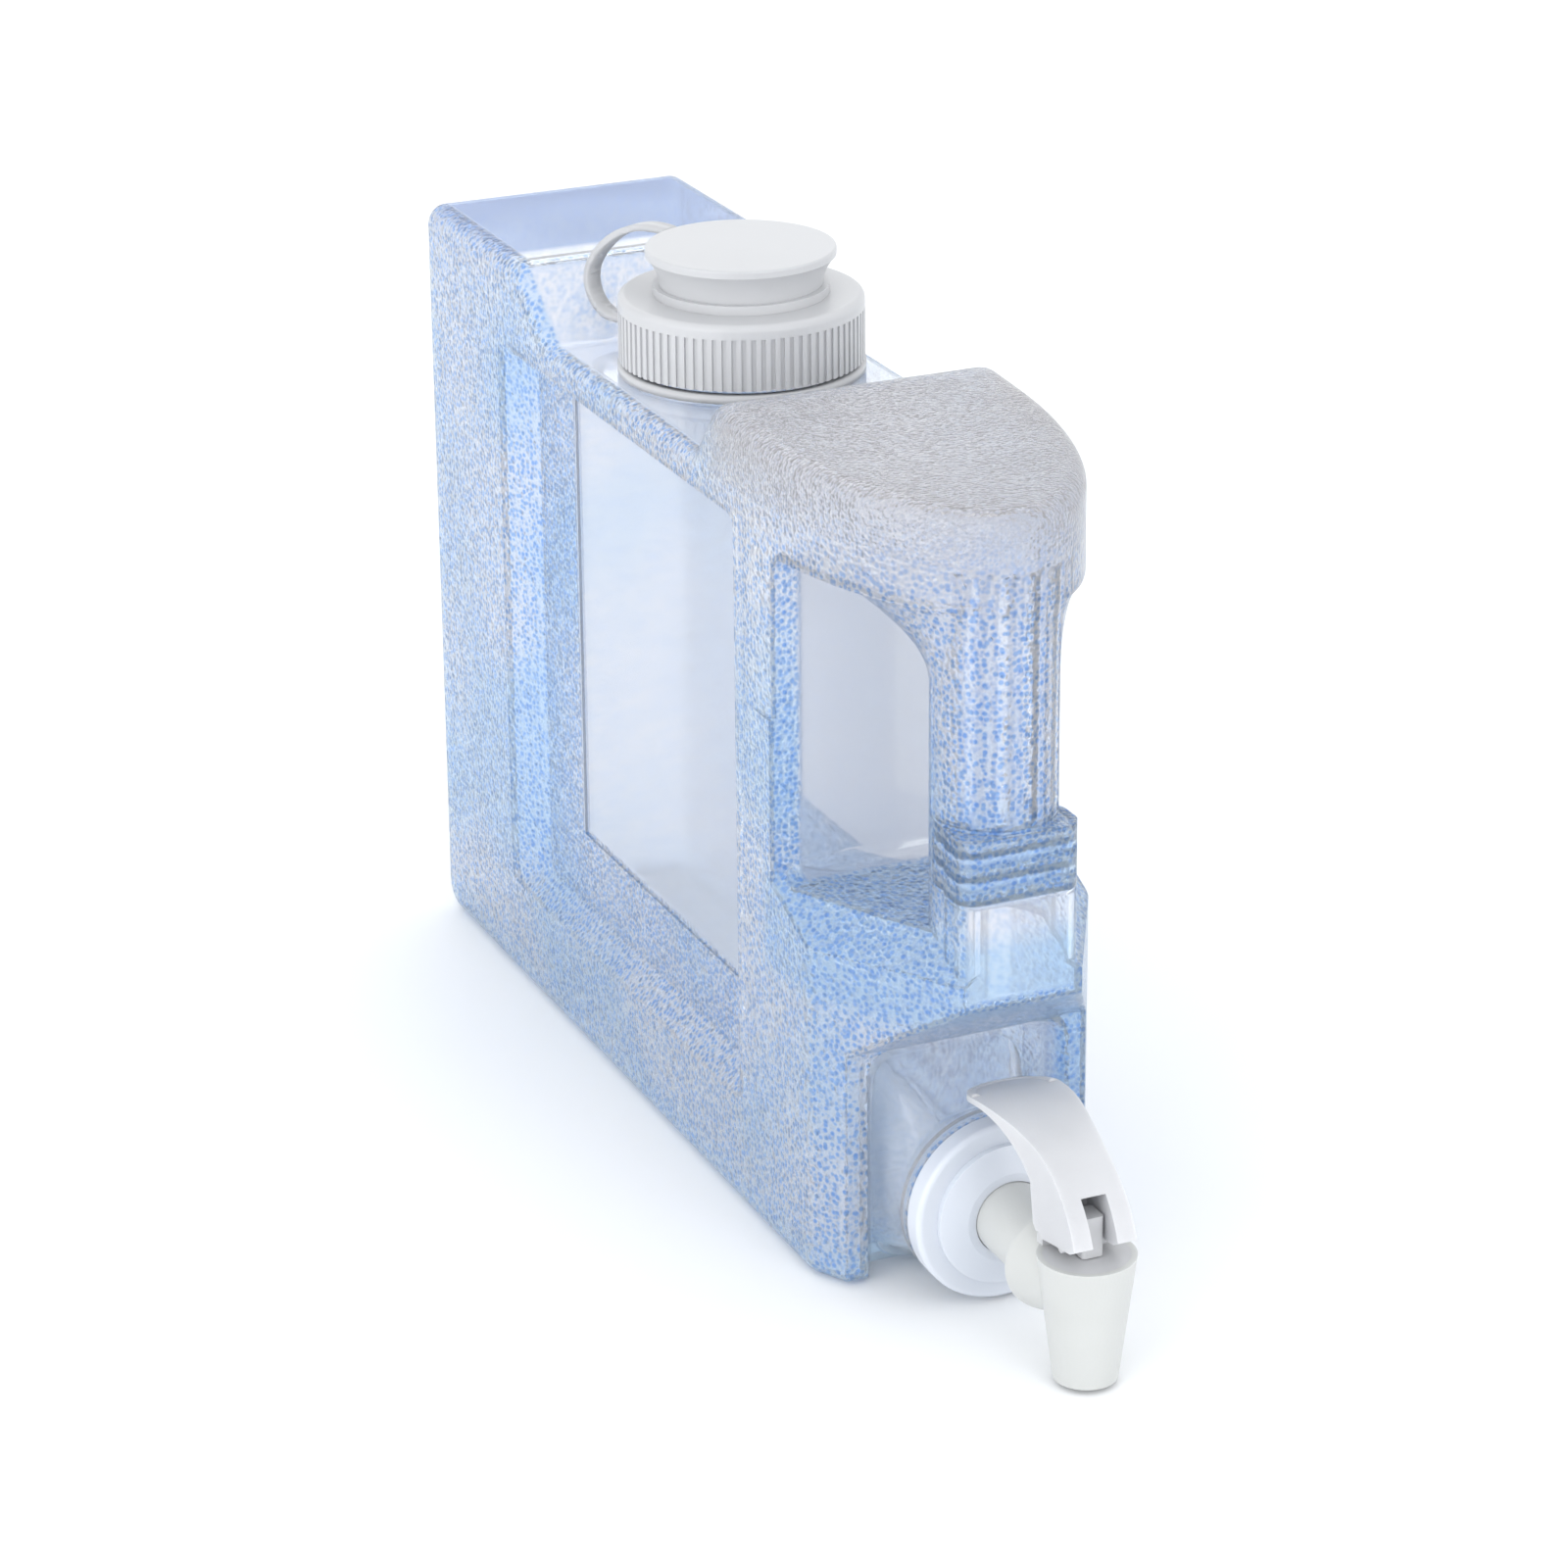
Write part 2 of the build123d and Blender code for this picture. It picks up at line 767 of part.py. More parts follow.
with BuildPart() as gland_cap:
    with BuildSketch(Plane.XY.offset(gland_bottom)):
        with Locations((0, spout_y)):
            Circle(gland_radius)
            Circle(stem_radius + stem_clearance, mode=Mode.SUBTRACT)
    extrude(amount=gland_thickness)
    fulcrum_plane = Plane(
        origin=(fulcrum_length / 2, y_at(bottle_length), 0), x_dir=(0, -1, 0), z_dir=(-1, 0, 0)
    )
    with BuildSketch(fulcrum_plane):
        with Locations((pivot_reach, pivot_height)):
            Circle(fulcrum_radius)
        with Locations((pivot_reach, (pivot_height + spout_top) / 2)):
            Rectangle(2 * fulcrum_radius, pivot_rise)
    extrude(amount=fulcrum_length)

with BuildPart() as valve_stem:
    stem_bottom = seat_top + stem_root
    with BuildSketch(Plane.XY.offset(stem_bottom)):
        with Locations((0, spout_y)):
            Circle(stem_radius)
    extrude(amount=cross_bar_height - stem_bottom)
    head_bottom = spout_top + stem_clearance
    with BuildSketch(Plane.XY.offset(head_bottom)):
        with Locations((0, spout_y)):
            RectangleRounded(stem_head_width, stem_head_length, stem_head_round)
    extrude(amount=stem_head_height)
    with BuildSketch(Plane.YZ.offset(-cross_bar_length / 2)):
        with Locations((spout_y, cross_bar_height)):
            Circle(cross_bar_radius)
    extrude(amount=cross_bar_length)


# Lever: one curved paddle whose front turns down into two cheeks
def lever_outline():
    """Side outline of the lever: reach ahead across, height up."""
    web = (lever_heel_reach - lever_heel_lean, lever_knee_height - lever_thickness - lever_web_drop)
    crown_under = lever_crown_height - lever_thickness - lever_crown_drop
    with BuildSketch(reach_view) as outline:
        with BuildLine():
            Spline(
                (lever_rear, lever_rear_height),
                (lever_crown_reach, lever_crown_height),
                (lever_knee_reach, lever_knee_height),
                (lever_tip_reach, lever_tip_height),
            )
            Polyline(
                (lever_tip_reach, lever_tip_height),
                (lever_tip_reach - lever_tip_back, lever_tip_height - lever_tip_drop),
                (pivot_reach, pivot_height),
                (lever_heel_reach, pivot_height + lever_heel_rise),
                web,
            )
            Spline(
                web,
                (lever_crown_reach - lever_crown_back, crown_under),
                (lever_rear, lever_rear_height - lever_thickness),
            )
            Line((lever_rear, lever_rear_height - lever_thickness), (lever_rear, lever_rear_height))
        make_face()
    return outline.sketch


with BuildPart() as lever:
    add(lever_outline())
    extrude(amount=2 * lever_rear_round, dir=(-1, 0, 0))
    half_waist = lever_waist / 2
    half_tip = lever_tip_width / 2
    with BuildSketch(Plane.XY.offset(spout_top)):
        with BuildLine():
            shoulder_y = ahead(lever_rear + lever_rear_round)
            CenterArc((0, shoulder_y), lever_rear_round, 0, 180)
            Spline(
                (-lever_rear_round, shoulder_y),
                (-half_waist, ahead(lever_waist_reach)),
                (-half_tip, ahead(lever_tip_reach)),
                tangents=((0, -1), (0, -1)),
            )
            Line((-half_tip, ahead(lever_tip_reach)), (half_tip, ahead(lever_tip_reach)))
            Spline(
                (half_tip, ahead(lever_tip_reach)),
                (half_waist, ahead(lever_waist_reach)),
                (lever_rear_round, shoulder_y),
                tangents=((0, 1), (0, 1)),
            )
        make_face()
    extrude(amount=lever_crown_height, mode=Mode.INTERSECT)
    slot_start = pivot_reach + fulcrum_radius + lever_slot_gap
    slot_length = lever_tip_reach - slot_start
    with BuildSketch(Plane.XY):
        with Locations((0, ahead(slot_start + slot_length / 2))):
            Rectangle(lever_slot, slot_length)
    extrude(amount=lever_knee_height - lever_thickness, mode=Mode.SUBTRACT)
    with BuildSketch(Plane.YZ.offset(-cross_bar_length / 2 - lever_bar_clearance)):
        with Locations((spout_y - lever_bar_play / 2, cross_bar_height)):
            SlotCenterToCenter(lever_bar_play, 2 * (cross_bar_radius + lever_bar_clearance))
    extrude(amount=cross_bar_length + 2 * lever_bar_clearance, mode=Mode.SUBTRACT)
    with BuildSketch(Plane.YZ.offset(-body_width / 2)):
        with Locations((ahead(pivot_reach), pivot_height)):
            Circle(fulcrum_radius + fulcrum_clearance)
    extrude(amount=body_width, mode=Mode.SUBTRACT)


os.makedirs("parts", exist_ok=True)
pieces = {
    "bottle": bottle,
    "screw_collar": screw_collar,
    "collar_liner": collar_liner,
    "stopper": stopper,
    "tether": tether,
    "tap_gasket": tap_gasket,
    "coupling_nut": coupling_nut,
    "tap_body": tap_body,
    "seat_cup": seat_cup,
    "gland_cap": gland_cap,
    "valve_stem": valve_stem,
    "lever": lever,
}
for name, piece in pieces.items():
    piece.part.label = name
    export_step(piece.part, f"parts/{name}.step")
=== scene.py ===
# %% [markdown]
# A slim water container for a refrigerator shelf. The construction comes in as a fixed frame of
# solids, each at its true size. This lesson gives every solid its finish, adds the few small
# things that only the eye needs, and sets a soft studio round it.

# %% Load the frame
import bmesh
import bpy
import math
from mathutils import Matrix, Vector


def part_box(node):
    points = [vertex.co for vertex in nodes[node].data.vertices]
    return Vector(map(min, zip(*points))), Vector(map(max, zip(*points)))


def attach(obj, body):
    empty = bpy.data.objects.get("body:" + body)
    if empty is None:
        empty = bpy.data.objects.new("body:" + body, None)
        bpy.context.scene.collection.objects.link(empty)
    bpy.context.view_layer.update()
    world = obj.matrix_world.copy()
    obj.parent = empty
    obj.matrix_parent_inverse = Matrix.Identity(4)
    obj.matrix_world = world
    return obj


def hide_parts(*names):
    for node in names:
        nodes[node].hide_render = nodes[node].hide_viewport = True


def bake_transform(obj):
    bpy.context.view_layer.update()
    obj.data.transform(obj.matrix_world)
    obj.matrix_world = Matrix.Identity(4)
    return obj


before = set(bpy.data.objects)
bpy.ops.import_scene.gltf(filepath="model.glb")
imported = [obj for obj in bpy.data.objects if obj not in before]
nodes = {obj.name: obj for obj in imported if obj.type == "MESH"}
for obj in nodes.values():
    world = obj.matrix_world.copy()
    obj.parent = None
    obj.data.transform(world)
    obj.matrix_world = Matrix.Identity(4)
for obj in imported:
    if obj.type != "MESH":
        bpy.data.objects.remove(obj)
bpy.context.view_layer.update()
MM = 0.001
print("solids in the frame:", len(nodes))

# %% [markdown]
# Most places follow from the solids themselves. The bottle's box gives the back, from which all
# depths are measured, and the collar's box gives the middle of the filler neck.

# %% Places that the solids give
bottle_low, bottle_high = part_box("bottle")
collar_low, collar_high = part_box("screw_collar")
BACK = bottle_high.y
NECK_Y = (collar_low.y + collar_high.y) / 2
print("length of the bottle in mm:", round((BACK - bottle_low.y) / MM, 1))


def from_back(depth_mm):
    """Place along Y of a depth in millimetres from the bottle's back face."""
    return BACK - depth_mm * MM


# %% [markdown]
# The camera stands in front of the tap, to the left of the bottle and above it. Its place was
# solved from the photograph's edges, so the picture can be compared region by region.

# %% Camera
AZIMUTH = math.radians(24.0)
PITCH = math.radians(20.1)
ROLL = math.radians(-0.48)
FOCAL_PIXELS = 5046.0
FRAME_PIXELS = 1600.0
SENSOR = 36.0
OPTICAL_CENTRE = (813.8, 614.1)
CAMERA_PLACE = Vector((-0.5164, from_back(1338.6), 0.6167))

forward = Vector(
    (math.sin(AZIMUTH) * math.cos(PITCH), math.cos(AZIMUTH) * math.cos(PITCH), -math.sin(PITCH))
)
level_right = Vector((math.cos(AZIMUTH), -math.sin(AZIMUTH), 0))
level_up = level_right.cross(forward)
right = level_right * math.cos(ROLL) + level_up * math.sin(ROLL)
up = level_up * math.cos(ROLL) - level_right * math.sin(ROLL)

lens = bpy.data.cameras.new("photo_camera")
lens.sensor_width = SENSOR
lens.lens = FOCAL_PIXELS / FRAME_PIXELS * SENSOR
lens.shift_x = 0.5 - OPTICAL_CENTRE[0] / FRAME_PIXELS
lens.shift_y = OPTICAL_CENTRE[1] / FRAME_PIXELS - 0.5
camera = bpy.data.objects.new("photo_camera", lens)
bpy.context.scene.collection.objects.link(camera)
turn = Matrix((right, up, -forward)).transposed().to_4x4()
camera.matrix_world = Matrix.Translation(CAMERA_PLACE) @ turn
bpy.context.scene.camera = camera
print("lens in mm:", round(lens.lens, 1))

# %% [markdown]
# Clear plastic shows mostly what surrounds it. A pale floor and an almost white room give it the
# bright look of a catalogue picture, and three broad lights shape the white pieces and put soft
# streaks on the bottle's edges.

# %% Floor, room and lights
FLOOR_HALF = 6.0
FLOOR_COLOUR = (0.93, 0.94, 0.95, 1)
FLOOR_ROUGHNESS = 0.7
FLOOR_GLOSS = 0.1
ROOM_COLOUR = (0.97, 0.985, 1.0, 1)
ROOM_STRENGTH = 1.2
AIM = Vector((0, 0, 0.11))


def node_tree_of(owner):
    """Empties the owner's node tree and returns it."""
    owner.use_nodes = True
    owner.node_tree.nodes.clear()
    return owner.node_tree


def plain_floor():
    """One broad pale floor under the object."""
    mesh = bpy.data.meshes.new("studio_floor")
    shape = bmesh.new()
    bmesh.ops.create_grid(shape, x_segments=1, y_segments=1, size=FLOOR_HALF)
    shape.to_mesh(mesh)
    shape.free()
    floor = bpy.data.objects.new("studio_floor", mesh)
    bpy.context.scene.collection.objects.link(floor)
    paint = bpy.data.materials.new("pale_floor")
    tree = node_tree_of(paint)
    surface = tree.nodes.new("ShaderNodeBsdfPrincipled")
    surface.inputs["Base Color"].default_value = FLOOR_COLOUR
    surface.inputs["Roughness"].default_value = FLOOR_ROUGHNESS
    surface.inputs["Specular IOR Level"].default_value = FLOOR_GLOSS
    output = tree.nodes.new("ShaderNodeOutputMaterial")
    tree.links.new(surface.outputs["BSDF"], output.inputs["Surface"])
    mesh.materials.append(paint)


def soft_light(name, place, size, power):
    """Square light at a place, turned towards the middle of the object."""
    light = bpy.data.lights.new(name, "AREA")
    light.shape = "SQUARE"
    light.size = size
    light.energy = power
    lamp = bpy.data.objects.new(name, light)
    bpy.context.scene.collection.objects.link(lamp)
    lamp.location = place
    lamp.rotation_euler = (AIM - Vector(place)).to_track_quat("-Z", "Y").to_euler()


def white_room():
    """Even, almost white light from all round."""
    room = bpy.data.worlds.new("white_room")
    bpy.context.scene.world = room
    tree = node_tree_of(room)
    background = tree.nodes.new("ShaderNodeBackground")
    background.inputs["Color"].default_value = ROOM_COLOUR
    background.inputs["Strength"].default_value = ROOM_STRENGTH
    output = tree.nodes.new("ShaderNodeOutputWorld")
    tree.links.new(background.outputs["Background"], output.inputs["Surface"])


plain_floor()
white_room()
LIGHTS = {
    "left_window": {"place": (-1.2, -0.7, 0.45), "size": 1.0, "power": 7.0},
    "front_window": {"place": (0.3, -1.3, 0.4), "size": 0.6, "power": 3.5},
    "back_window": {"place": (0.4, 1.2, 1.0), "size": 0.9, "power": 2.0},
}
for name, values in LIGHTS.items():
    soft_light(name, **values)
bpy.context.scene.view_settings.view_transform = "Standard"
print("lights:", len(bpy.data.lights))

# %% [markdown]
# Shared effects are node groups. The first one answers a question that the bottle's mould asks
# everywhere: is this point inside that block? Its soft edge blends one finish into the next.

# %% Zone group


def new_group(name, inputs, outputs):
    """Node group with named sockets: pairs of name and kind, F for a number and V for a vector."""
    kinds = {"F": "NodeSocketFloat", "V": "NodeSocketVector"}
    group = bpy.data.node_groups.new(name, "ShaderNodeTree")
    for label, kind in inputs:
        group.interface.new_socket(name=label, in_out="INPUT", socket_type=kinds[kind])
    for label, kind in outputs:
        group.interface.new_socket(name=label, in_out="OUTPUT", socket_type=kinds[kind])
    return group, group.nodes.new("NodeGroupInput"), group.nodes.new("NodeGroupOutput")


def feed(tree, source, target):
    """Links a socket to a socket, or sets the target to a plain value."""
    if isinstance(source, bpy.types.NodeSocket):
        tree.links.new(source, target)
    else:
        target.default_value = source


def math_node(tree, operation, first, second=0.0, clamp=False):
    """Math node and its result."""
    node = tree.nodes.new("ShaderNodeMath")
    node.operation = operation
    node.use_clamp = clamp
    feed(tree, first, node.inputs[0])
    feed(tree, second, node.inputs[1])
    return node.outputs[0]


def vector_node(tree, operation, first, second=(0, 0, 0)):
    """Vector math node and its result."""
    node = tree.nodes.new("ShaderNodeVectorMath")
    node.operation = operation
    feed(tree, first, node.inputs[0])
    feed(tree, second, node.inputs[1])
    return node.outputs[0]


zone_group, zone_in, zone_out = new_group(
    "block_zone",
    [("Point", "V"), ("Middle", "V"), ("Half Size", "V"), ("Softness", "V")],
    [("Mask", "F")],
)
gap = vector_node(zone_group, "SUBTRACT", zone_in.outputs["Point"], zone_in.outputs["Middle"])
gap = vector_node(zone_group, "ABSOLUTE", gap)
room_left = vector_node(zone_group, "SUBTRACT", zone_in.outputs["Half Size"], gap)
room_left = vector_node(zone_group, "DIVIDE", room_left, zone_in.outputs["Softness"])
split = zone_group.nodes.new("ShaderNodeSeparateXYZ")
zone_group.links.new(room_left, split.inputs[0])
least = math_node(zone_group, "MINIMUM", split.outputs[0], split.outputs[1])
least = math_node(zone_group, "MINIMUM", least, split.outputs[2], clamp=True)
zone_group.links.new(least, zone_out.inputs["Mask"])
print("zone group nodes:", len(zone_group.nodes))

# %% [markdown]
# The mould's outer walls carry a coarse pebble grain, which hides scratches on the real bottle.
# Round cells of a Voronoi pattern make the pebbles: their distance gives the height of each dome,
# and the dots where thicker plastic in the pebble's middle looks bluer.

# %% Pebble grain group
PEBBLE_DISORDER = 0.75
DOME_POWER = 1.3
DOT_EDGE = 0.50
DOT_CORE = 0.34


def stretched(tree, value, start, end):
    """The value mapped so that it goes from 0 at start to 1 at end, and no further."""
    node = tree.nodes.new("ShaderNodeMapRange")
    node.inputs["From Min"].default_value = start
    node.inputs["From Max"].default_value = end
    tree.links.new(value, node.inputs["Value"])
    return node.outputs["Result"]


grain_group, grain_in, grain_out = new_group(
    "pebble_grain", [("Point", "V"), ("Scale", "F")], [("Height", "F"), ("Dots", "F")]
)
pebbles = grain_group.nodes.new("ShaderNodeTexVoronoi")
pebbles.inputs["Randomness"].default_value = PEBBLE_DISORDER
grain_group.links.new(grain_in.outputs["Point"], pebbles.inputs["Vector"])
grain_group.links.new(grain_in.outputs["Scale"], pebbles.inputs["Scale"])
dome = math_node(grain_group, "POWER", pebbles.outputs["Distance"], DOME_POWER)
dome = math_node(grain_group, "SUBTRACT", 1.0, dome, clamp=True)
grain_group.links.new(dome, grain_out.inputs["Height"])
dots = stretched(grain_group, pebbles.outputs["Distance"], DOT_EDGE, DOT_CORE)
grain_group.links.new(dots, grain_out.inputs["Dots"])
print("grain group nodes:", len(grain_group.nodes))

# %% [markdown]
# Handling leaves a faint haze and fine scuffs on every moulded piece. One group makes both from
# two noises, and each material decides how much of it shows.

# %% Haze group
SLOW_DETAIL = 1.0
FINE_DETAIL = 4.0
FINE_FACTOR = 22.0
haze_group, haze_in, haze_out = new_group(
    "moulding_haze", [("Point", "V"), ("Scale", "F")], [("Haze", "F"), ("Fine", "F")]
)
slow = haze_group.nodes.new("ShaderNodeTexNoise")
slow.inputs["Detail"].default_value = SLOW_DETAIL
haze_group.links.new(haze_in.outputs["Point"], slow.inputs["Vector"])
haze_group.links.new(haze_in.outputs["Scale"], slow.inputs["Scale"])
haze_group.links.new(slow.outputs["Fac"], haze_out.inputs["Haze"])
fine_scale = math_node(haze_group, "MULTIPLY", haze_in.outputs["Scale"], FINE_FACTOR)
fine = haze_group.nodes.new("ShaderNodeTexNoise")
fine.inputs["Detail"].default_value = FINE_DETAIL
haze_group.links.new(haze_in.outputs["Point"], fine.inputs["Vector"])
haze_group.links.new(fine_scale, fine.inputs["Scale"])
haze_group.links.new(fine.outputs["Fac"], haze_out.inputs["Fine"])
print("haze group nodes:", len(haze_group.nodes))

# %% [markdown]
# Every finish starts in the same way, so a few helpers come first: one opens a material, one
# places a group, one adds up relief in millimetres, and one mixes two colours by a mask. One bump
# for all the relief of a material renders faster than a chain of them.

# %% Helpers for materials
MIX_FIRST_COLOUR = 6
MIX_SECOND_COLOUR = 7
MIX_COLOUR_RESULT = 2


def use_group(tree, group, **values):
    """Places a group in a material and feeds its inputs."""
    node = tree.nodes.new("ShaderNodeGroup")
    node.node_tree = group
    for label, value in values.items():
        feed(tree, value, node.inputs[label.replace("_", " ")])
    return node


def start_material(name):
    """Material with its tree, its Principled shader and its object point."""
    material = bpy.data.materials.new(name)
    tree = node_tree_of(material)
    shader = tree.nodes.new("ShaderNodeBsdfPrincipled")
    output = tree.nodes.new("ShaderNodeOutputMaterial")
    tree.links.new(shader.outputs["BSDF"], output.inputs["Surface"])
    point = tree.nodes.new("ShaderNodeTexCoord").outputs["Object"]
    return material, tree, shader, point


def relief(tree, layers):
    """Normal of a surface with relief: pairs of height and depth in millimetres, added up."""
    total = 0.0
    for height, depth_mm in layers:
        total = math_node(tree, "ADD", total, math_node(tree, "MULTIPLY", height, depth_mm))
    node = tree.nodes.new("ShaderNodeBump")
    node.inputs["Distance"].default_value = MM
    tree.links.new(total, node.inputs["Height"])
    return node.outputs["Normal"]


def ramp(tree, value, low, high):
    """Colour that goes from low to high as the value goes from 0 to 1."""
    node = tree.nodes.new("ShaderNodeMix")
    node.data_type = "RGBA"
    tree.links.new(value, node.inputs["Factor"])
    feed(tree, low, node.inputs[MIX_FIRST_COLOUR])
    feed(tree, high, node.inputs[MIX_SECOND_COLOUR])
    return node.outputs[MIX_COLOUR_RESULT]


def scaled(tree, value, factor, offset):
    """The value times a factor, plus an offset."""
    result = math_node(tree, "MULTIPLY_ADD", value, factor)
    result.node.inputs[2].default_value = offset
    return result


def highest(tree, values):
    """The highest of several values."""
    result = values[0]
    for value in values[1:]:
        result = math_node(tree, "MAXIMUM", result, value)
    return result


print("helpers ready: groups, materials, relief, colours and masks")

# %% [markdown]
# The bottle is one blow-moulded shell of blue-tinted clear plastic. The pebbles could be cut into
# its mesh, but they are far too many, so the material draws them. The mould's zones say where they
# stop: on the label panels, the hump, the saddle, the wall behind the grip, round the tap and in
# the small window above it. Each zone is a block in millimetres: its half width, its depths from
# the bottle's back and its heights above the surface that the object stands on.

# %% Zones of the bottle's mould


def block(half_width_mm, depths_mm, heights_mm):
    """Middle and half size of a block given by half width, depths from the back and heights."""
    middle = (0, from_back(sum(depths_mm) / 2), sum(heights_mm) / 2 * MM)
    half_depth = abs(depths_mm[1] - depths_mm[0]) / 2 * MM
    half_height = abs(heights_mm[1] - heights_mm[0]) / 2 * MM
    return middle, (half_width_mm * MM, half_depth, half_height)


SMOOTH_ZONES = {
    "label_panels": block(36.5, (103, 226), (62, 197)),
    "hump_top": block(36, (-5, 74), (219, 230)),
    "saddle": block(37, (74, 214), (203, 230)),
    "grip_back_wall": block(33, (246, 256), (84, 200)),
    "tap_recess": block(28, (266, 300), (-5, 66)),
    "front_window": block(16, (300, 322), (91, 119)),
}
COLUMN_FLUTES = block(17, (296, 325), (137, 205))
FOOT_BANDS = block(20, (298, 325), (117, 137))
SHOULDER_TOP = block(60, (205, 340), (194, 260))
# The block where the painted reflection on the hump's top lies.
HUMP_REFLECTION_ZONE = block(40, (-5, 66), (214, 232))
GRIP_FOOT = block(45, (245, 330), (76, 112))
SHARP_EDGE = (0.0012, 0.0012, 0.0012)
SOFT_EDGE = (0.004, 0.004, 0.008)
SHOULDER_EDGE = (0.004, 0.02, 0.026)
SHOULDER_SWITCH = 0.5


def zone_mask(tree, point, zone, softness=SHARP_EDGE):
    """Mask of one block."""
    middle, half = zone
    placed = use_group(tree, zone_group, Point=point, Middle=middle, Half_Size=half, Softness=softness)
    return placed.outputs["Mask"]


print("smooth zones:", len(SMOOTH_ZONES))

# %% [markdown]
# The relief comes from three patterns: pebbles, which turn to a finer leather grain on the
# shoulder, flutes on the grip column, and bands at its foot. A slow waviness, as every blown wall
# has, breaks up the reflections.

# %% Relief of the bottle
PEBBLES_PER_METRE = 620.0
LEATHER_PER_METRE = 900.0
FLUTE_PITCH = 6.6 * MM
BAND_PITCH = 6.6 * MM
PEBBLE_DEPTH_MM = 0.35
FLUTE_DEPTH_MM = 0.9
BAND_DEPTH_MM = 1.2
WAVINESS_MM = 1.0


def waves(tree, place, pitch):
    """Even waves along one axis."""
    return math_node(tree, "SINE", math_node(tree, "MULTIPLY", place, 2 * math.pi / pitch))


def bottle_relief(tree, point, axes, grained, grain, haze):
    """Normal of the bottle's wall."""
    flutes = waves(tree, axes.outputs[0], FLUTE_PITCH)
    bands = waves(tree, axes.outputs[2], BAND_PITCH)
    layers = [
        (math_node(tree, "MULTIPLY", grain.outputs["Height"], grained), PEBBLE_DEPTH_MM),
        (math_node(tree, "MULTIPLY", flutes, zone_mask(tree, point, COLUMN_FLUTES)), FLUTE_DEPTH_MM),
        (math_node(tree, "MULTIPLY", bands, zone_mask(tree, point, FOOT_BANDS)), BAND_DEPTH_MM),
        (haze.outputs["Haze"], WAVINESS_MM),
    ]
    return relief(tree, layers)


print("pebble size in mm:", round(1 / PEBBLES_PER_METRE / MM, 2))

# %% [markdown]
# Thick plastic looks bluer than thin plastic, and the hot plastic stretches unevenly when it is
# blown. So the tint runs from nearly clear to blue in slow pools, along the base edge and at the
# grip's foot, and every pebble gets a blue dot. On top of that, light and shade are painted in: a dark
# blue painted reflection on the hump's top, a grey painted reflection on the nose's top, and grey
# painted shade on the recessed label panels and the wall behind the grip.

# %% Tint of the bottle
THIN_TINT = (0.98, 0.975, 0.99, 1)
THICK_TINT = (0.74, 0.88, 1.0, 1)
# Painted light: a dark blue painted reflection on the hump, a grey painted reflection on the nose, grey
# painted shade on the panels.
HUMP_PAINTED_REFLECTION = (0.30, 0.44, 0.72, 1)
NOSE_PAINTED_REFLECTION = (0.80, 0.785, 0.80, 1)
PANEL_PAINTED_SHADE = (0.84, 0.85, 0.885, 1)
DOT_TINT = (0.32, 0.54, 0.94, 1)
POOL_START = 0.46
POOL_END = 0.62
FOOT_TINT_TOP = 14 * MM


def bottle_tint(tree, point, axes, grained, shoulder, grain, haze):
    """Colour of the bottle's wall, with painted reflections on the hump and the nose and painted shade
    on the panels.
    """
    pools = stretched(tree, haze.outputs["Haze"], POOL_START, POOL_END)
    foot = stretched(tree, axes.outputs[2], FOOT_TINT_TOP, 0.0)
    grip_foot = zone_mask(tree, point, GRIP_FOOT, SOFT_EDGE)
    thick = highest(tree, [math_node(tree, "MULTIPLY", pools, grained), foot, grip_foot])
    tint = ramp(tree, thick, THIN_TINT, THICK_TINT)
    # Painted reflection: the hump's top turns dark blue.
    tint = ramp(tree, zone_mask(tree, point, HUMP_REFLECTION_ZONE, SOFT_EDGE), tint, HUMP_PAINTED_REFLECTION)
    # Painted reflection: the nose's top turns warm grey.
    tint = ramp(tree, shoulder, tint, NOSE_PAINTED_REFLECTION)
    # Painted shade: the recessed label panels and the wall behind the grip turn grey.
    panels = [zone_mask(tree, point, SMOOTH_ZONES[name]) for name in ("label_panels", "grip_back_wall")]
    tint = ramp(tree, highest(tree, panels), tint, PANEL_PAINTED_SHADE)
    dot_share = math_node(tree, "MULTIPLY", grained, math_node(tree, "SUBTRACT", 1.0, shoulder))
    return ramp(tree, math_node(tree, "MULTIPLY", grain.outputs["Dots"], dot_share), tint, DOT_TINT)


print("pools of thick plastic: haze from", POOL_START, "to", POOL_END)

# %% [markdown]
# The shader could be pure glass, but a blown bottle of this kind is slightly cloudy. Most of the
# light passes through the true double wall, and the rest is scattered, which keeps the bottle
# bright against a white room.

# %% Clear blue plastic
HAZE_PER_METRE = 14.0
SMOOTH_ROUGHNESS = 0.06
GRAIN_ROUGHNESS = 0.12
CLEAR_SHARE = 0.82
PLASTIC_IOR = 1.42


